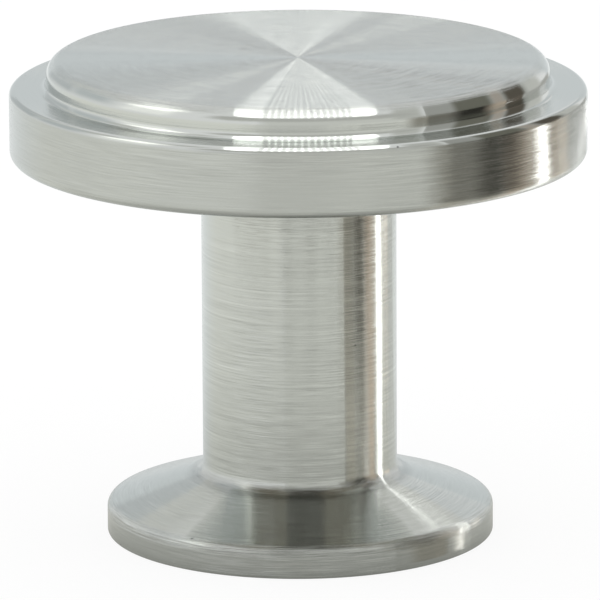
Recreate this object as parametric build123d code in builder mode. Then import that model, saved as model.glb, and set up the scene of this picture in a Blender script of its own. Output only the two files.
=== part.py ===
"""Round cabinet knob, turned from one piece of metal.

A wide disc head carries a raised crown disc on its front. Behind it a plain stem
flares into a shallow conical foot that seats on the door or drawer front. A blind
hole in the foot is drilled and countersunk for a tapped machine screw.

Frame: +Z runs along the knob's axis, away from the door. The origin is the centre
of the foot's flat seat. All sizes are in millimetres.
"""

import os
from math import radians, tan

from build123d import *

# Overall sizes
projection = 26.9
head_diameter = 32.0
stem_diameter = 10.85
foot_diameter = 21.6

# Steps of the head
crown_height = 1.62
ledge_width = 2.06
head_rim_height = 3.88

# Flare of the foot
foot_rim_height = 1.7
foot_slope = 18.4

# Rounded edges and inner corners
crown_edge_radius = 0.85
crown_corner_radius = 0.42
head_front_edge_radius = 0.34
head_back_edge_radius = 0.5
neck_radius = 0.8
foot_cove_radius = 0.8
foot_rim_radius = 0.45
seat_edge_radius = 0.12

# Blind hole drilled for an 8-32 machine screw thread
tap_drill_diameter = 3.45
hole_depth = 12.0
drill_point_angle = 118.0
hole_mouth_chamfer = 0.5

# Radii and heights that follow from the sizes above
head_radius = head_diameter / 2
crown_radius = head_radius - ledge_width
stem_radius = stem_diameter / 2
foot_radius = foot_diameter / 2
drill_radius = tap_drill_diameter / 2
ledge_z = projection - crown_height
head_back_z = ledge_z - head_rim_height
flare_top_z = foot_rim_height + (foot_radius - stem_radius) * tan(radians(foot_slope))
drill_point_length = drill_radius / tan(radians(drill_point_angle / 2))

with BuildPart() as knob:
    # Half section from the middle of the seat, round the outside, to the middle of the crown
    with BuildSketch(Plane.XZ) as section:
        with BuildLine() as outline:
            outside = FilletPolyline(
                (0, 0),
                (foot_radius, 0),
                (foot_radius, foot_rim_height),
                (stem_radius, flare_top_z),
                (stem_radius, head_back_z),
                (head_radius, head_back_z),
                (head_radius, ledge_z),
                (crown_radius, ledge_z),
                (crown_radius, projection),
                (0, projection),
                radius=[
                    seat_edge_radius,
                    foot_rim_radius,
                    foot_cove_radius,
                    neck_radius,
                    head_back_edge_radius,
                    head_front_edge_radius,
                    crown_corner_radius,
                    crown_edge_radius,
                ],
            )
            Line(outside @ 1, outside @ 0)
        make_face()
    revolve(axis=Axis.Z)

    # Drilled hole with its countersunk mouth and the cone left by the drill's point
    with BuildSketch(Plane.XZ) as drilling:
        with BuildLine():
            Polyline(
                (0, 0),
                (drill_radius + hole_mouth_chamfer, 0),
                (drill_radius, hole_mouth_chamfer),
                (drill_radius, hole_depth),
                (0, hole_depth + drill_point_length),
                close=True,
            )
        make_face()
    revolve(axis=Axis.Z, mode=Mode.SUBTRACT)

knob.part.label = "knob"

os.makedirs("parts", exist_ok=True)
export_step(knob.part, "parts/knob.step")
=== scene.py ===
"""Turned cabinet knob in satin brushed nickel, in a white photo tent."""

import math
from collections import namedtuple
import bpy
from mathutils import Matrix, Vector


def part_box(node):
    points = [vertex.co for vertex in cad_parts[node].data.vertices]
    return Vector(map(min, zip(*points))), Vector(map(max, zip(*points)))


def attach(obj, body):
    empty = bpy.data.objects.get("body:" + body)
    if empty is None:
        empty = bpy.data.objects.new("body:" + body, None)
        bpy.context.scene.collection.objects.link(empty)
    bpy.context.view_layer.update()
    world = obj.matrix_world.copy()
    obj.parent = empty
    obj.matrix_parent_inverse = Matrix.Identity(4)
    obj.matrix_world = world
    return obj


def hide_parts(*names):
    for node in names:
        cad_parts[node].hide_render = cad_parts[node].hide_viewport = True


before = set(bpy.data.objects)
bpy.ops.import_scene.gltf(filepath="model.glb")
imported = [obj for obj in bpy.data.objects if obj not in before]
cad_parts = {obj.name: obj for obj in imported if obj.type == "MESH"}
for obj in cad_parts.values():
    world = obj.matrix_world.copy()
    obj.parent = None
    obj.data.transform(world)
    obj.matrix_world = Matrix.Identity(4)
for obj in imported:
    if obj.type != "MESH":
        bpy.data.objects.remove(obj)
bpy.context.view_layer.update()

from types import SimpleNamespace

import bmesh
import bpy
import numpy as np
from mathutils import Matrix, Vector

MM = 0.001

# Sizes of the turned section, in millimetres; the head's radius and the height come from the frame
_, HIGH_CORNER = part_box("knob")
HEAD_RADIUS = HIGH_CORNER.x / MM
PROJECTION = HIGH_CORNER.z / MM
CROWN_HEIGHT = 1.62
LEDGE_WIDTH = 2.06
HEAD_RIM_HEIGHT = 3.88
STEM_RADIUS = 5.425
FOOT_RADIUS = 10.8
FOOT_RIM_HEIGHT = 1.7
FOOT_SLOPE = math.radians(18.4)
CROWN_EDGE_RADIUS = 0.85
CROWN_CORNER_RADIUS = 0.42
HEAD_FRONT_EDGE_RADIUS = 0.34
HEAD_BACK_EDGE_RADIUS = 0.5
NECK_RADIUS = 0.8
FOOT_COVE_RADIUS = 0.8
FOOT_RIM_RADIUS = 0.45
SEAT_EDGE_RADIUS = 0.12

# Tapped hole, with the major radius and pitch of an 8-32 thread
DRILL_RADIUS = 1.725
HOLE_DEPTH = 12.0
DRILL_POINT_ANGLE = math.radians(118.0)
HOLE_MOUTH_CHAMFER = 0.5
HOLE_EDGE_RADIUS = 0.06
THREAD_MAJOR_RADIUS = 2.083
THREAD_PITCH = 25.4 / 32
THREAD_END = 10.6
THREAD_FADE = 0.6

# Heights and radii that follow
CROWN_RADIUS = HEAD_RADIUS - LEDGE_WIDTH
LEDGE_Z = PROJECTION - CROWN_HEIGHT
HEAD_BACK_Z = LEDGE_Z - HEAD_RIM_HEIGHT
FLARE_TOP_Z = FOOT_RIM_HEIGHT + (FOOT_RADIUS - STEM_RADIUS) * math.tan(FOOT_SLOPE)
DRILL_POINT_LENGTH = DRILL_RADIUS / math.tan(DRILL_POINT_ANGLE / 2)

# Fineness of the mesh
SEGMENTS = 240
ARC_STEPS = 10
EDGE_HOLD = 0.03
THREAD_ROWS_PER_PITCH = 12

# The studio's cards: height over the table, degrees from step to step or number of steps along a curve,
# and the strength up to which a card is a thing that only shows in the metal and not a lamp
TABLE_GAP = 0.3
STATION_STEP = 6.0
CURVE_STEPS = 12
DIM_LIGHT = 1.2
UP = Vector((0.0, 0.0, 1.0))

# Colours of lamps and of things round the knob
LAMP_WHITE = (1.0, 1.0, 0.98)
STRIP_WHITE = (1.0, 0.98, 0.95)
RISE_WHITE = (1.0, 0.99, 0.97)
GREY = (1.0, 1.0, 0.95)
COOL = (0.95, 1.0, 1.02)
DARK = (1.0, 0.95, 0.82)
BROWN = (1.0, 0.9, 0.7)
TAN = (1.0, 0.84, 0.68)

# Fans of lamps overhead: height above the crown, and degrees from the front horizon to their two ends
Fan = namedtuple("Fan", "rise front back")
NEAR_FAN = Fan(40.0, 48.5, 86.0)
MIDDLE_FAN = Fan(150.0, 78.0, 112.0)
FAR_FAN = Fan(400.0, 100.0, 150.0)

# Where the fans' rays are straight: radius on the crown's front edge, and level share of the view there
FAN_EDGE = 13.6
FAN_VIEW = 0.978

# Lamps of a fan, in degrees round the crown's centre
LAMP_COUNT = 13
FIRST_LAMP = -6.75
LAMP_PITCH = 1.52
LEFT_LAMP = (-8.2, -15.6)
RIGHT_LAMP = (12.6, 19.4)

# Turned faces that mirror bands: radius and height of the face, elevation of the view there,
# lowest and highest elevation of the face's normal, and distance of the card
Face = namedtuple("Face", "radius height view lowest highest reach")
HEAD_VIEW = 12.5
FOOT_VIEW = 15.6
CONE_RISE = 90.0 - math.degrees(FOOT_SLOPE)
EDGE_FACE = Face(CROWN_RADIUS, PROJECTION, HEAD_VIEW, 8.0, 62.0, 30.0)
EDGE_BACK = Face(CROWN_RADIUS, PROJECTION, HEAD_VIEW, 8.0, 62.0, 31.0)
COVE_FACE = Face(STEM_RADIUS + 0.2, 4.0, FOOT_VIEW, 4.0, CONE_RISE, 28.0)
CONE_INNER = Face(STEM_RADIUS + 0.4, 3.3, FOOT_VIEW, CONE_RISE, CONE_RISE, 28.0)
CONE_OUTER = Face(FOOT_RADIUS, FOOT_RIM_HEIGHT, FOOT_VIEW, CONE_RISE, CONE_RISE, 28.0)

# Parts of the grey ground behind the bands on the crown's right edge, in degrees round the axis
EDGE_PARTS = 6
EDGE_START = 29.9
EDGE_STEP = 6.6

# Finish of the metal: its colour, and the sine of the steepest groove's tilt at a depth of one
NICKEL = (0.565, 0.585, 0.565)
STEEPEST_GROOVE = 0.97

# Table: half its width in metres, the shadowed and the glowing part of the white that the camera sees,
# and the paper's colour for scattered light
TABLE_HALF = 3.0
TABLE_SHADOWED = (0.15, 0.15, 0.15, 1.0)
TABLE_GLOW = 0.86
TABLE_PAPER = (0.95, 0.95, 0.93, 1.0)

# The table as the metal shows it: its white and tints, and its shades round the foot, as reach and depth
SHOWN_WHITE = 0.95
SHOWN_BACK = (0.97, 1.0, 1.0, 1.0)
SHOWN_FRONT = (1.0, 1.0, 0.935, 1.0)
WIDE_SHADE = (29.0, 0.54)
CLOSE_SHADE = (1.2, 0.1)
SHADE_TOWARD = (0.1, -0.99, 0.0)
SHADE_LEAN = 0.3

# Camera fitted to the photograph, in millimetres and degrees
CAMERA_AIM = Vector((0.042, 0.0, 13.09))
CAMERA_DISTANCE = 403.2
CAMERA_ELEVATION = math.radians(13.78)
CAMERA_ROLL = math.radians(-0.28)
CAMERA_LENS = 434.3
SENSOR_WIDTH = 36.0


def rounded(corners):
    """Points along a path of (radius, height, fillet) corners, with each fillet as an arc.

    Straight runs get a point close to each end, which keeps the shading of flat faces flat.
    """
    points = [Vector(corners[0][:2])]
    for before, corner, after in zip(corners, corners[1:], corners[2:]):
        here = Vector(corner[:2])
        back = (Vector(before[:2]) - here).normalized()
        on = (Vector(after[:2]) - here).normalized()
        half = back.angle(on) / 2
        reach = corner[2] / math.tan(half)
        centre = here + (back + on).normalized() * corner[2] / math.sin(half)
        start = here + back * reach - centre
        end = here + on * reach - centre
        sweep = start.angle_signed(end)
        points.append(centre + start + back * EDGE_HOLD)
        for step in range(ARC_STEPS + 1):
            turn = Matrix.Rotation(-sweep * step / ARC_STEPS, 2)
            points.append(centre + turn @ start)
        points.append(centre + end + on * EDGE_HOLD)
    points.append(Vector(corners[-1][:2]))
    return points


def outer_section():
    """Outside of the knob, from the crown's centre down to the edge of the hole's mouth."""
    return rounded([
        (0.0, PROJECTION, 0.0),
        (CROWN_RADIUS, PROJECTION, CROWN_EDGE_RADIUS),
        (CROWN_RADIUS, LEDGE_Z, CROWN_CORNER_RADIUS),
        (HEAD_RADIUS, LEDGE_Z, HEAD_FRONT_EDGE_RADIUS),
        (HEAD_RADIUS, HEAD_BACK_Z, HEAD_BACK_EDGE_RADIUS),
        (STEM_RADIUS, HEAD_BACK_Z, NECK_RADIUS),
        (STEM_RADIUS, FLARE_TOP_Z, FOOT_COVE_RADIUS),
        (FOOT_RADIUS, FOOT_RIM_HEIGHT, FOOT_RIM_RADIUS),
        (FOOT_RADIUS, 0.0, SEAT_EDGE_RADIUS),
        (DRILL_RADIUS + HOLE_MOUTH_CHAMFER, 0.0, HOLE_EDGE_RADIUS),
        (DRILL_RADIUS, HOLE_MOUTH_CHAMFER, HOLE_EDGE_RADIUS),
        (DRILL_RADIUS, 2 * HOLE_MOUTH_CHAMFER, 0.0),
    ])


def thread_depth(z, angle):
    """How far the thread cuts past the drilled wall at a height and an angle."""
    phase = (z / THREAD_PITCH - angle / math.tau) % 1.0
    flank = abs(2 * phase - 1)
    cut = np.clip(1.25 * flank - 0.125, 0.0, 1.0)
    fade_in = np.clip((z - HOLE_MOUTH_CHAMFER) / THREAD_FADE, 0.0, 1.0)
    fade_out = np.clip((THREAD_END - z) / THREAD_FADE, 0.0, 1.0)
    return (THREAD_MAJOR_RADIUS - DRILL_RADIUS) * cut * fade_in * fade_out


def hole_section():
    """Rows of the drilled hole above its mouth, up to the drill's point."""
    first = 2 * HOLE_MOUTH_CHAMFER
    rows = round((THREAD_END - first) / THREAD_PITCH * THREAD_ROWS_PER_PITCH)
    wall = [Vector((DRILL_RADIUS, z)) for z in np.linspace(first, THREAD_END, rows + 1)[1:]]
    shoulder = Vector((DRILL_RADIUS, HOLE_DEPTH))
    point = Vector((0.0, HOLE_DEPTH + DRILL_POINT_LENGTH))
    return wall + [shoulder, point]


def turned_knob():
    """The whole knob as one closed mesh, turned about Z."""
    section = outer_section() + hole_section()
    angles = [math.tau * k / SEGMENTS for k in range(SEGMENTS)]
    mesh = bmesh.new()

    def ring(point):
        threaded = point.x == DRILL_RADIUS and point.y < HOLE_DEPTH
        made = []
        for angle in angles:
            radius = point.x + (thread_depth(point.y, angle) if threaded else 0.0)
            made.append(mesh.verts.new((
                radius * math.cos(angle) * MM, radius * math.sin(angle) * MM, point.y * MM,
            )))
        return made

    crown_centre = mesh.verts.new((0.0, 0.0, section[0].y * MM))
    drill_tip = mesh.verts.new((0.0, 0.0, section[-1].y * MM))
    rings = [ring(point) for point in section[1:-1]]
    for k in range(SEGMENTS):
        after = (k + 1) % SEGMENTS
        mesh.faces.new((crown_centre, rings[0][k], rings[0][after]))
        mesh.faces.new((drill_tip, rings[-1][after], rings[-1][k]))
        for upper, lower in zip(rings, rings[1:]):
            mesh.faces.new((upper[k], lower[k], lower[after], upper[after]))
    for face in mesh.faces:
        face.smooth = True
    data = bpy.data.meshes.new("turned_knob")
    mesh.to_mesh(data)
    mesh.free()
    piece = bpy.data.objects.new("turned_knob", data)
    bpy.context.scene.collection.objects.link(piece)
    return piece


class Nodes:
    """Short ways to add and join shader nodes in one node tree."""

    def __init__(self, tree):
        self.tree = tree
        tree.nodes.clear()

    def add(self, kind, inputs=None, **settings):
        node = self.tree.nodes.new(kind)
        for name, value in settings.items():
            setattr(node, name, value)
        for name, value in (inputs or {}).items():
            if isinstance(value, bpy.types.NodeSocket):
                self.tree.links.new(value, node.inputs[name])
            else:
                node.inputs[name].default_value = value
        return node

    def math(self, operation, first, second=0.0, third=0.0):
        inputs = {0: first, 1: second, 2: third}
        return self.add("ShaderNodeMath", inputs, operation=operation).outputs[0]

    def vector(self, operation, first, second=None, scale=None):
        inputs = {0: first}
        if second is not None:
            inputs[1] = second
        if scale is not None:
            inputs["Scale"] = scale
        node = self.add("ShaderNodeVectorMath", inputs, operation=operation)
        return node.outputs["Value" if operation in ("DOT_PRODUCT", "LENGTH") else "Vector"]

    def span(self, value, low, high, out_low=0.0, out_high=1.0):
        inputs = {"Value": value, "From Min": low, "From Max": high, "To Min": out_low, "To Max": out_high}
        return self.add("ShaderNodeMapRange", inputs, interpolation_type="SMOOTHSTEP").outputs["Result"]

    def blend(self, first, second, share):
        inputs = {0: share, 2: first, 3: second}
        return self.add("ShaderNodeMix", inputs, data_type="FLOAT").outputs[0]

    def layers(self, base, *zones):
        """A value that takes the value of each zone in turn, as far as the zone's share goes."""
        for value, share in zones:
            base = self.blend(base, value, share)
        return base

    def noise(self, vector, w, detail, roughness):
        inputs = {"Vector": vector, "W": w, "Scale": 1.0, "Detail": detail, "Roughness": roughness}
        node = self.add("ShaderNodeTexNoise", inputs, noise_dimensions="4D")
        return node.outputs["Fac"]


def finish_and_light_zones(n, radius, z):
    """Shares of the zones that were finished differently or are painted lighter or darker, each with soft
    borders.
    """
    on_crown = n.span(z, PROJECTION - 0.12, PROJECTION - 0.01)
    above_rim = n.span(z, LEDGE_Z - HEAD_FRONT_EDGE_RADIUS, LEDGE_Z - 0.5 * HEAD_FRONT_EDGE_RADIUS)
    past_wall = n.span(z, PROJECTION - 0.4, PROJECTION - 0.1)
    past_corner = n.span(radius, CROWN_RADIUS + 0.36, CROWN_RADIUS + 0.51)
    past_ledge = n.span(radius, HEAD_RADIUS - 0.4, HEAD_RADIUS - 0.25)
    on_foot = n.span(z, FLARE_TOP_Z, FLARE_TOP_Z + 0.6, 1.0, 0.0)
    past_cone = n.span(radius, FOOT_RADIUS - 0.4, FOOT_RADIUS - 0.25)
    over_rim = n.span(z, FOOT_RIM_HEIGHT - 0.6, FOOT_RIM_HEIGHT - 0.35)
    return SimpleNamespace(
        crown=on_crown,
        crown_edge=n.span(z, PROJECTION - 0.6 * CROWN_EDGE_RADIUS, PROJECTION - 0.01),
        step=n.math("SUBTRACT", above_rim, on_crown),
        wall=n.math("SUBTRACT", n.span(z, LEDGE_Z + 0.02, LEDGE_Z + 0.12), past_wall),
        ledge=n.math("MULTIPLY", n.math("SUBTRACT", past_corner, past_ledge), above_rim),
        above_rim=above_rim,
        head_rim=n.math("SUBTRACT", n.span(z, HEAD_BACK_Z, HEAD_BACK_Z + 0.3), above_rim),
        stem=n.math("SUBTRACT", n.span(z, HEAD_BACK_Z - 0.6, HEAD_BACK_Z - 0.2, 1.0, 0.0), on_foot),
        near_foot=n.span(z, FLARE_TOP_Z + 3.5, FLARE_TOP_Z + 8.5, 1.0, 0.0),
        cove=n.math("MULTIPLY", n.span(z, FLARE_TOP_Z - 0.35, FLARE_TOP_Z - 0.15), on_foot),
        foot=on_foot,
        foot_edge=n.math("MULTIPLY", n.math("MULTIPLY", past_cone, on_foot), over_rim),
    )


def brushed_nickel():
    """Satin nickel, brushed in circles about the knob's axis."""
    material = bpy.data.materials.new("brushed_nickel")
    material.use_nodes = True
    n = Nodes(material.node_tree)
    place = n.vector("SCALE", n.add("ShaderNodeTexCoord").outputs["Object"], scale=1 / MM)
    x, y, z = n.add("ShaderNodeSeparateXYZ", {0: place}).outputs
    flat = n.add("ShaderNodeCombineXYZ", {0: x, 1: y}).outputs[0]
    radius = n.vector("LENGTH", flat)
    outward = n.vector("NORMALIZE", flat)
    cos_angle, sin_angle, _ = n.add("ShaderNodeSeparateXYZ", {0: outward}).outputs
    zone = finish_and_light_zones(n, radius, z)

    def brushed(lines_per_mm, turns, detail, roughness=0.5):
        """Noise drawn out round the axis: fine across the brush lines, long along them."""
        vector = n.add("ShaderNodeCombineXYZ", {
            0: n.math("MULTIPLY", radius, lines_per_mm),
            1: n.math("MULTIPLY", z, lines_per_mm),
            2: n.math("MULTIPLY", cos_angle, turns),
        }).outputs[0]
        return n.noise(vector, n.math("MULTIPLY", sin_angle, turns), detail, roughness)

    groove = brushed(lines_per_mm=160.0, turns=4.0, detail=0.0)
    patch = brushed(lines_per_mm=12.0, turns=5.0, detail=2.0, roughness=0.6)
    line = brushed(lines_per_mm=9.0, turns=0.25, detail=1.5, roughness=0.6)
    hair = brushed(lines_per_mm=36.0, turns=7.0, detail=1.0)
    field = n.span(brushed(lines_per_mm=0.7, turns=1.3, detail=1.0), 0.35, 0.65, 0.35, 1.5)
    streak = n.math("SUBTRACT", n.blend(patch, line, zone.stem), 0.5)
    streak = n.math("MULTIPLY", streak, field)

    # Grooves tilt the surface across the brush lines only, most of them a little and a few of them steeply
    crown_share = n.math("MULTIPLY", zone.crown_edge, zone.crown_edge)
    depth = n.layers(
        0.07, (0.05, zone.head_rim), (0.015, zone.above_rim), (0.4, crown_share), (0.04, zone.ledge),
        (0.04, zone.near_foot), (0.3, zone.foot_edge), (0.1, zone.cove),
    )
    spread = n.span(groove, 0.3, 0.7, -STEEPEST_GROOVE, STEEPEST_GROOVE)
    steepness = n.math("INVERSE_SQRT", n.math("SUBTRACT", 1.0, n.math("MULTIPLY", spread, spread)))
    slope = n.math("MULTIPLY", depth, n.math("MULTIPLY", spread, steepness))
    marked = n.math("SUBTRACT", 1.0, n.math("MAXIMUM", zone.crown, zone.step))
    sway = n.math("MULTIPLY", n.math("MULTIPLY", streak, n.blend(0.07, 0.02, zone.foot)), marked)
    slope = n.math("ADD", slope, sway)
    normal = n.add("ShaderNodeNewGeometry").outputs["Normal"]
    brush = n.vector("CROSS_PRODUCT", (0.0, 0.0, 1.0), outward)
    across = n.vector("CROSS_PRODUCT", normal, brush)
    loose = n.math("MULTIPLY", n.blend(0.2, 1.0, zone.head_rim), marked)
    wander = n.math("MULTIPLY", n.math("MULTIPLY_ADD", hair, 0.12, -0.06), loose)
    lean = n.vector("ADD", n.vector("SCALE", across, scale=slope), n.vector("SCALE", brush, scale=wander))
    tilted = n.vector("NORMALIZE", n.vector("ADD", normal, lean))

    # Roughness of each zone, and its brightness, which is partly polish and partly painted light and
    # shade:
    # lighter on the stem and the crown's wall, darker on the head's rim and the crown, darkest in the cove
    rough = n.layers(
        0.17, (0.15, zone.near_foot), (0.21, zone.head_rim), (0.095, zone.above_rim), (0.11, zone.crown),
    )
    polish_and_painted_light = n.layers(
        1.0, (1.06, zone.stem), (0.915, zone.head_rim), (1.06, zone.wall), (0.965, zone.crown),
        (0.8, zone.cove),
    )
    worn = n.math("MULTIPLY_ADD", n.math("MULTIPLY", streak, marked), 0.38, 1.0)

    # A few tiny dark pits
    cells = n.add("ShaderNodeTexVoronoi", {"Vector": place, "Scale": 0.45}).outputs
    pit = n.span(cells["Distance"], 0.02, 0.034, 0.6, 0.0)
    bright = n.math("MULTIPLY", n.math("MULTIPLY", polish_and_painted_light, worn), n.math("SUBTRACT", 1.0, pit))
    colour = n.vector("SCALE", NICKEL, scale=bright)
    shader = n.add("ShaderNodeBsdfPrincipled", {
        "Base Color": colour,
        "Metallic": 1.0,
        "Roughness": rough,
        "Normal": tilted,
        "Tangent": brush,
        "Anisotropic": 1.0,
        "Anisotropic Rotation": 0.25,
    })
    n.add("ShaderNodeOutputMaterial", {"Surface": shader.outputs[0]})
    return material


def glow(name, colour, strength, soft_ends=0.0, soft_sides=0.0, soft_last=0.0, from_below=False):
    """Light of one colour for the studio's cards.

    It may fade out toward a card's two ends, its sides or its last end, over that share of the card,
    and it may show from below only.
    """
    material = bpy.data.materials.new(name)
    material.use_nodes = True
    n = Nodes(material.node_tree)
    light = n.add("ShaderNodeEmission", {"Color": (*colour, 1.0), "Strength": strength}).outputs[0]
    clear = n.add("ShaderNodeBsdfTransparent").outputs[0]

    def kept(light, share):
        """The light where the share is one, and nothing where it is zero."""
        return n.add("ShaderNodeMixShader", {0: share, 1: clear, 2: light}).outputs[0]

    along, aside, _ = n.add("ShaderNodeSeparateXYZ", {0: n.add("ShaderNodeUVMap").outputs[0]}).outputs
    from_last = n.math("SUBTRACT", 1.0, along)
    from_ends = n.math("MINIMUM", along, from_last)
    from_sides = n.math("MINIMUM", aside, n.math("SUBTRACT", 1.0, aside))
    for inset, soft in ((from_ends, soft_ends), (from_sides, soft_sides), (from_last, soft_last)):
        if soft > 0.0:
            light = kept(light, n.span(inset, 0.0, soft))
    if from_below:
        light = kept(light, n.add("ShaderNodeNewGeometry").outputs["Backfacing"])
    n.add("ShaderNodeOutputMaterial", {"Surface": light})
    if strength <= DIM_LIGHT:
        material.cycles.emission_sampling = "NONE"
    return material


def card(name, rungs, material):
    """A studio card that shows in the metal but not to the camera.

    It is made like a ladder, from pairs of points in millimetres.
    """
    corners = [Vector(point) * MM for rung in rungs for point in rung]
    last = len(rungs) - 1
    faces = [(2 * k, 2 * k + 1, 2 * k + 3, 2 * k + 2) for k in range(last)]
    data = bpy.data.meshes.new(name)
    data.from_pydata(corners, [], faces)
    layout = data.uv_layers.new(name="ladder")
    for loop in data.loops:
        layout.data[loop.index].uv = (loop.vertex_index // 2 / last, loop.vertex_index % 2)
    data.materials.append(material)
    made = bpy.data.objects.new(name, data)
    made.visible_camera = False
    made.visible_diffuse = False
    made.visible_shadow = False
    bpy.context.scene.collection.objects.link(made)


def toward(azimuth):
    """Level direction at an azimuth from the camera's side, in degrees, positive to the right."""
    turn = math.radians(azimuth)
    return Vector((math.sin(turn), -math.cos(turn), 0.0))


def stations(first, last):
    """Azimuths from the first to the last, close enough to curve a card smoothly."""
    return np.linspace(first, last, 1 + max(1, round((last - first) / STATION_STEP)))


def upright(name, azimuths, distance, heights, colour, strength, **soft):
    """A standing card that curves round the knob between two azimuths and two heights."""
    rungs = [[toward(at) * distance + UP * height for height in heights] for at in stations(*azimuths)]
    card(name, rungs, glow(name, colour, strength, **soft))


def level(name, azimuths, distances, colour, strength, height=TABLE_GAP, **soft):
    """A level card between two azimuths and two distances, just above the table unless it is raised."""
    rungs = [[toward(at) * distance + UP * height for distance in distances] for at in stations(*azimuths)]
    card(name, rungs, glow(name, colour, strength, **soft))


def trail(name, radius, angles, distances, colour, strength, **soft):
    """A card just above the table that an upright turned wall shows between two angles round the axis."""
    rungs = []
    for distance in distances:
        rungs.append([toward(at) * radius + toward(2 * at) * distance + UP * TABLE_GAP for at in angles])
    card(name, rungs, glow(name, colour, strength, **soft))


def ray(name, fan, inner, outer, material, lift=0.0, tapered=False):
    """A lamp overhead between two angles, fanned so that the turned crown shows it as a straight ray.

    A tapered one narrows at its front and back ends, from the side of the outer angle.
    """
    rungs = []
    for share in np.linspace(0.0, 1.0, CURVE_STEPS + 1):
        lean = math.radians(fan.front + (fan.back - fan.front) * share)
        y = -fan.rise / math.tan(lean)
        reach = FAN_EDGE + FAN_VIEW * math.hypot(fan.rise, y) - y
        width = math.sqrt(max(0.0, 1 - (2 * share - 1) ** 2)) if tapered else 1.0
        angles = (inner, inner + (outer - inner) * width)
        height = PROJECTION + fan.rise + lift
        rungs.append([(reach * math.tan(math.radians(angle)), y - FAN_EDGE, height) for angle in angles])
    card(name, rungs, material)


def mirrored(face, angle, rise):
    """Where a turned face sends the view at an angle round the axis and an elevation of its normal."""
    view = toward(0.0) * math.cos(math.radians(face.view)) + UP * math.sin(math.radians(face.view))
    normal = toward(angle) * math.cos(math.radians(rise)) + UP * math.sin(math.radians(rise))
    onward = 2 * normal.dot(view) * normal - view
    return toward(angle) * face.radius + UP * face.height + onward * face.reach


def band(name, face, angles, colour, strength, **soft):
    """A card that a turned face shows as one band between two angles round the axis."""
    rungs = []
    for rise in np.linspace(face.lowest, face.highest, CURVE_STEPS + 1):
        rungs.append([mirrored(face, angle, rise) for angle in angles])
    card(name, rungs, glow(name, colour, strength, **soft))


def lamp_fan(name, fan, half_width, narrow_strength, wide_strength, between_strength, tapered=False):
    """Row of narrow lamps overhead with a wide one at each end and a dimmer ground between them."""
    narrow = glow(f"{name}_narrow", LAMP_WHITE, narrow_strength)
    wide = glow(f"{name}_wide", LAMP_WHITE, wide_strength)
    between = glow(f"{name}_between", LAMP_WHITE, between_strength)
    for k in range(LAMP_COUNT):
        middle = FIRST_LAMP + LAMP_PITCH * k
        ray(f"{name}_narrow_{k}", fan, middle - half_width, middle + half_width, narrow)
    ray(f"{name}_wide_left", fan, *LEFT_LAMP, wide, tapered=tapered)
    ray(f"{name}_wide_right", fan, *RIGHT_LAMP, wide, tapered=tapered)
    ray(f"{name}_between", fan, LEFT_LAMP[0], RIGHT_LAMP[0], between, lift=0.5)


def lamps():
    """Lamps overhead, a strip on the right that runs in over the table, and two soft boxes on the left."""
    lamp_fan("near_lamp", NEAR_FAN, 0.22, 3.0, 3.0, 1.6, tapered=True)
    lamp_fan("middle_lamp", MIDDLE_FAN, 0.26, 3.0, 2.5, 1.15)
    lamp_fan("far_lamp", FAR_FAN, 0.2, 3.8, 1.9, 0.9)

    # The strip stands in tapered steps with a warm halo behind it
    upright("strip_low", (98.4, 111.6), 77.0, (0.0, 4.0), STRIP_WHITE, 9.0, soft_ends=0.28)
    upright("strip_high", (100.8, 107.8), 77.0, (4.0, 9.5), STRIP_WHITE, 9.0, soft_ends=0.28)
    upright("strip_halo", (95.5, 115.0), 77.5, (0.0, 9.5), (1.0, 0.86, 0.72), 1.2, soft_ends=0.3)

    # The stem, the foot, the cove and the cone show it on as one line
    trail("strip_trail", STEM_RADIUS, (50.8, 57.8), (12.0, 72.0), STRIP_WHITE, 2.2, soft_sides=0.2)
    trail("foot_trail", FOOT_RADIUS, (50.0, 58.0), (0.4, 8.0), (1.0, 0.96, 0.9), 1.3, soft_sides=0.4)
    band("strip_cove", COVE_FACE, (55.2, 57.0), RISE_WHITE, 3.2, soft_sides=0.25)
    cone_ends = []
    for face in (CONE_INNER, CONE_OUTER):
        cone_ends.append([mirrored(face, angle, CONE_RISE) for angle in (55.8, 56.4)])
    card("strip_cone", cone_ends, glow("strip_cone", RISE_WHITE, 3.2, soft_sides=0.25))

    upright("left_soft_box", (-99.0, -63.0), 150.0, (122.0, 230.0), GREY, 2.0,
            soft_ends=0.2, soft_sides=0.1)
    upright("left_low_box", (-91.0, -55.0), 150.0, (44.0, 128.0), (1.0, 1.0, 0.97), 1.22,
            soft_ends=0.25, soft_sides=0.14)


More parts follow.
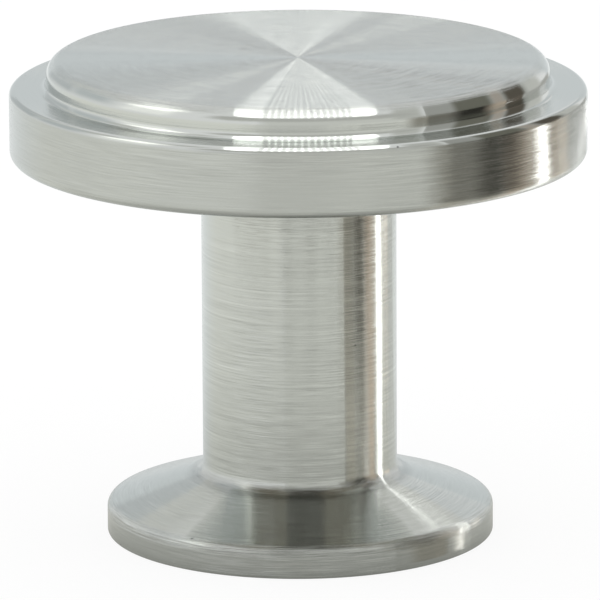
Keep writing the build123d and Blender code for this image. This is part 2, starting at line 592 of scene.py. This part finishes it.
def right_side():
    """Dark and warm things on the right, from the table up, and what the crown's edge shows of them."""
    upright("right_low_1", (51.0, 68.0), 50.0, (0.0, 9.0), DARK, 0.27, soft_ends=0.04)
    upright("right_low_2", (63.0, 80.0), 49.5, (0.0, 9.0), DARK, 0.16, soft_ends=0.3)
    # Painted shade: darker, warm sheets on the table by the dark things on the right, which the stem and
    # the foot show
    trail("right_floor_shade_1", STEM_RADIUS, (27.0, 37.0), (11.0, 46.0), DARK, 0.64, soft_sides=0.14)
    trail("right_floor_shade_2", STEM_RADIUS, (34.0, 44.0), (11.0, 45.0), DARK, 0.5, soft_sides=0.45)
    trail("right_floor_shade_3", STEM_RADIUS, (41.0, 51.0), (11.0, 58.0), TAN, 0.78, soft_sides=0.4)
    trail("foot_floor_shade", FOOT_RADIUS, (32.0, 50.0), (0.4, 9.0), DARK, 0.34, soft_sides=0.2)
    upright("right_high_1", (40.0, 62.0), 50.0, (9.0, 28.0), DARK, 0.36, soft_ends=0.4)
    upright("right_high_2", (51.8, 74.0), 49.5, (9.0, 28.0), DARK, 0.21, soft_ends=0.06)
    upright("right_high_3", (60.0, 90.0), 49.0, (9.0, 28.0), DARK, 0.03, soft_ends=0.38)
    upright("right_tan", (74.0, 98.0), 60.0, (0.0, 28.0), TAN, 0.55, soft_ends=0.04)
    upright("right_brown", (95.0, 114.0), 79.0, (9.5, 30.0), (1.0, 0.85, 0.7), 0.16)
    upright("right_glow", (108.0, 127.0), 80.0, (0.0, 9.5), TAN, 1.28, soft_ends=0.25)

    # A grey ground behind the bands on the crown's edge is split, so that it keeps its distance
    for k in range(EDGE_PARTS):
        first = EDGE_START + EDGE_STEP * k
        band(f"edge_base_{k}", EDGE_BACK, (first, first + EDGE_STEP), GREY, 0.46, soft_last=0.35)
    band("edge_start", EDGE_BACK, (20.5, 30.6), GREY, 0.66, soft_sides=0.3, soft_last=0.35)
    band("edge_olive", EDGE_FACE, (36.6, 50.8), (1.0, 0.98, 0.82), 0.2, soft_sides=0.2, soft_last=0.3)
    band("edge_pink", EDGE_FACE, (48.8, 55.2), (1.0, 0.9, 0.8), 0.5, soft_sides=0.4, soft_last=0.3)
    band("edge_brown", EDGE_FACE, (53.6, 64.4), (1.0, 0.88, 0.72), 0.13, soft_sides=0.25, soft_last=0.3)
    band("edge_pale", EDGE_FACE, (62.4, 75.0), GREY, 0.7, soft_sides=0.3, soft_last=0.4)


def front_and_under():
    """Grey things in front, for the crown's wall and ledge, and painted shade under the head, for the
    foot.
    """
    upright("front_dim", (-40.0, 50.0), 36.0, (36.0, 50.5), GREY, 0.6, soft_ends=0.12)
    upright("front_mid", (-40.0, 50.0), 300.0, (124.0, 260.0), GREY, 0.66, soft_ends=0.12)
    upright("front_low", (-20.0, 60.0), 300.0, (5.0, 124.0), GREY, 0.8, soft_ends=0.1)
    # Grey sheets that make the table show darker in the metal, in front and to the front right
    level("front_table_grey", (-30.0, 26.0), (95.0, 1500.0), GREY, 0.71, soft_ends=0.4)
    level("front_right_table_grey", (10.0, 53.0), (95.0, 127.0), GREY, 0.38, soft_ends=0.3)
    # Painted shade: dim sheets just under the head that show from below only, standing in for the shade
    # under it
    level("head_shade_dark", (-20.0, 34.0), (7.0, 23.0), BROWN, 0.07, 20.3, soft_ends=0.03, from_below=True)
    level("head_shade_dim", (-76.0, 78.0), (7.0, 23.0), BROWN, 0.24, 20.5, soft_ends=0.08, from_below=True)
    level("head_shade_right", (126.0, 160.0), (15.0, 32.0), GREY, 0.76, 20.6, soft_ends=0.2, from_below=True)
    level("head_shade_left", (200.0, 234.0), (15.0, 32.0), GREY, 0.76, 20.6, soft_ends=0.2, from_below=True)


def left_and_back():
    """Grey and cool things on the left and behind."""
    band("edge_left_1", EDGE_FACE, (-84.0, -62.0), COOL, 0.66, soft_ends=0.4, soft_sides=0.2)
    band("edge_left_2", EDGE_FACE, (-68.0, -44.0), COOL, 0.7, soft_ends=0.4, soft_sides=0.35)
    upright("left_dim", (-138.0, -99.0), 150.0, (120.0, 220.0), GREY, 0.7, soft_ends=0.3, soft_sides=0.2)
    upright("left_high", (-104.0, -58.0), 150.0, (228.0, 440.0), GREY, 0.64, soft_ends=0.3, soft_sides=0.2)
    upright("far_left", (184.0, 212.0), 500.0, (150.0, 325.0), COOL, 0.64, soft_ends=0.35)
    upright("far_right", (152.0, 168.0), 500.0, (165.0, 310.0), COOL, 0.7, soft_ends=0.3)
    upright("far_low", (150.0, 210.0), 500.0, (0.0, 165.0), COOL, 0.79, soft_ends=0.12)
    upright("left_back_dim", (202.0, 226.0), 480.0, (245.0, 430.0), GREY, 0.85, soft_ends=0.2)
    # Grey sheets that make the table show darker in the metal, behind on the right and near on the right
    level("back_right_table_grey", (113.0, 158.0), (95.0, 1500.0), GREY, 0.5, soft_ends=0.14)
    level("right_near_table_grey", (112.0, 142.0), (20.0, 95.0), GREY, 0.72, soft_ends=0.25)


def tent():
    """White all round, for the camera and in the metal."""
    world = bpy.data.worlds.new("tent")
    world.use_nodes = True
    n = Nodes(world.node_tree)
    light = n.add("ShaderNodeBackground", {"Color": (1.0, 1.0, 1.0, 1.0), "Strength": 1.0})
    n.add("ShaderNodeOutputWorld", {"Surface": light.outputs[0]})
    world.cycles.sampling_method = "NONE"
    bpy.context.scene.world = world


def floor():
    """Wide white table under the knob, open from below, with a faint shadow to the camera.

    In the metal it shows as plain white that is shaded toward the foot.
    """
    data = bpy.data.meshes.new("floor")
    corners = [(x * TABLE_HALF, y * TABLE_HALF, 0) for x, y in ((-1, -1), (1, -1), (1, 1), (-1, 1))]
    data.from_pydata(corners, [], [(0, 1, 2, 3)])
    material = bpy.data.materials.new("white_table")
    material.use_nodes = True
    n = Nodes(material.node_tree)
    place = n.vector("SCALE", n.add("ShaderNodeTexCoord").outputs["Object"], scale=1 / MM)
    away = n.math("SUBTRACT", n.vector("LENGTH", place), FOOT_RADIUS)
    toward_front = n.vector("DOT_PRODUCT", n.vector("NORMALIZE", place), SHADE_TOWARD)
    share = n.math("MULTIPLY_ADD", toward_front, SHADE_LEAN, 1 - SHADE_LEAN)

    def shade(reach, depth):
        """Darkness that fades with the distance from the foot, a little deeper in front."""
        part = n.math("DIVIDE", away, reach)
        fade = n.math("EXPONENT", n.math("MULTIPLY", n.math("MULTIPLY", part, part), -1.0))
        return n.math("MULTIPLY", n.math("MULTIPLY", fade, share), depth)

    shown_white = n.math("SUBTRACT", SHOWN_WHITE, shade(*WIDE_SHADE))
    shown_white = n.math("SUBTRACT", shown_white, shade(*CLOSE_SHADE))
    shown_tint = n.add("ShaderNodeMix", {
        0: n.span(toward_front, -0.95, -0.4), 6: SHOWN_BACK, 7: SHOWN_FRONT,
    }, data_type="RGBA").outputs[2]
    in_metal = n.add("ShaderNodeEmission", {"Color": shown_tint, "Strength": shown_white})
    paper = n.add("ShaderNodeBsdfDiffuse", {"Color": TABLE_PAPER})
    shadowed = n.add("ShaderNodeBsdfDiffuse", {"Color": TABLE_SHADOWED})
    light = n.add("ShaderNodeEmission", {"Color": (1.0, 1.0, 1.0, 1.0), "Strength": TABLE_GLOW})
    lit = n.add("ShaderNodeAddShader", {0: shadowed.outputs[0], 1: light.outputs[0]})
    path = n.add("ShaderNodeLightPath").outputs
    in_mirror = n.math("MAXIMUM", path["Is Glossy Ray"], path["Is Transmission Ray"])
    plain = n.add("ShaderNodeMixShader", {0: in_mirror, 1: paper.outputs[0], 2: in_metal.outputs[0]})
    top = n.add("ShaderNodeMixShader", {0: path["Is Camera Ray"], 1: plain.outputs[0], 2: lit.outputs[0]})
    clear = n.add("ShaderNodeBsdfTransparent")
    back = n.add("ShaderNodeNewGeometry").outputs["Backfacing"]
    shown = n.add("ShaderNodeMixShader", {0: back, 1: top.outputs[0], 2: clear.outputs[0]})
    n.add("ShaderNodeOutputMaterial", {"Surface": shown.outputs[0]})
    material.cycles.emission_sampling = "NONE"
    data.materials.append(material)
    made = bpy.data.objects.new("floor", data)
    bpy.context.scene.collection.objects.link(made)


def camera():
    """Long lens from a little above, as the photograph was taken."""
    data = bpy.data.cameras.new("camera")
    data.lens = CAMERA_LENS
    data.sensor_width = SENSOR_WIDTH
    data.clip_start = 0.01
    data.clip_end = 20.0
    made = bpy.data.objects.new("camera", data)
    back = Vector((0.0, -math.cos(CAMERA_ELEVATION), math.sin(CAMERA_ELEVATION)))
    look = (-back).to_track_quat("-Z", "Y").to_matrix().to_4x4()
    place = Matrix.Translation((CAMERA_AIM + back * CAMERA_DISTANCE) * MM)
    made.matrix_world = place @ look @ Matrix.Rotation(CAMERA_ROLL, 4, "Z")
    bpy.context.scene.collection.objects.link(made)
    bpy.context.scene.camera = made


knob = turned_knob()
knob.data.materials.append(brushed_nickel())
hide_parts("knob")
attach(knob, "root")
lamps()
right_side()
front_and_under()
left_and_back()
tent()
floor()
camera()
bpy.context.scene.view_settings.view_transform = "Standard"
